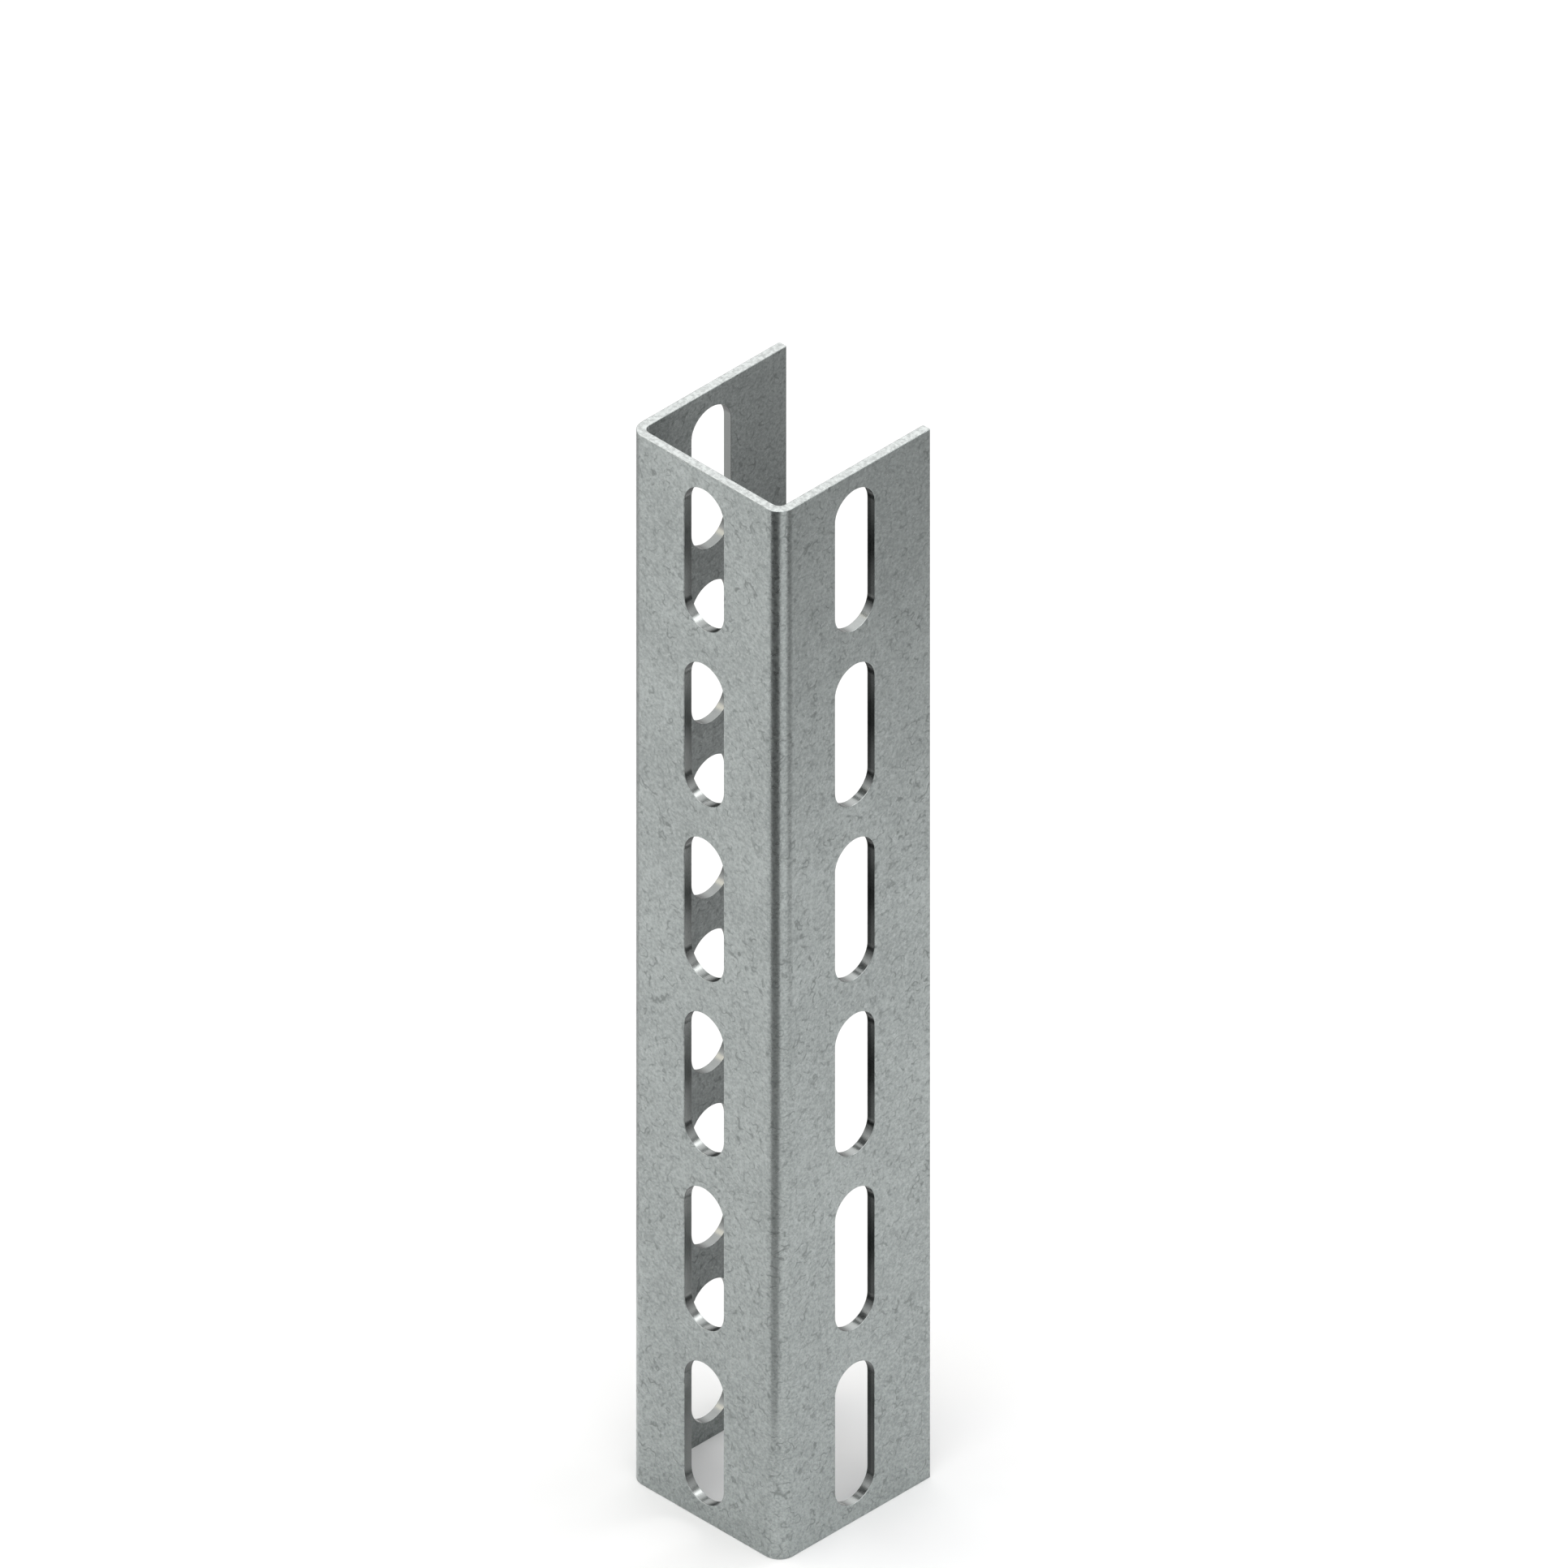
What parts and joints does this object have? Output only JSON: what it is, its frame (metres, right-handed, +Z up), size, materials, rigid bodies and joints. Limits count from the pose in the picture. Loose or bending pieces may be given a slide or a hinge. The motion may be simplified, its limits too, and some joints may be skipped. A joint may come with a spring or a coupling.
{
  "type": "strut channel",
  "caption": "Plain U-section strut channel of galvanised sheet steel, with rows of long bolt slots along the web and both flanges and square-cut ends.",
  "frame": {"origin": "centre of the section's 50 mm square outline, on the lower cut end", "axes": "+Z up the channel's length, -Y out of the web's back, +Y out of the open side, +X out of the right flange"},
  "size_m": [0.05, 0.05, 0.3],
  "materials": {
    "galvanised_steel": "hot-dip galvanised sheet, satin grey with a fine mottled spangle; the cut ends are paler"
  },
  "bodies": {
    "root": {"slotted_channel": "galvanised_steel"}
  },
  "joints": []
}
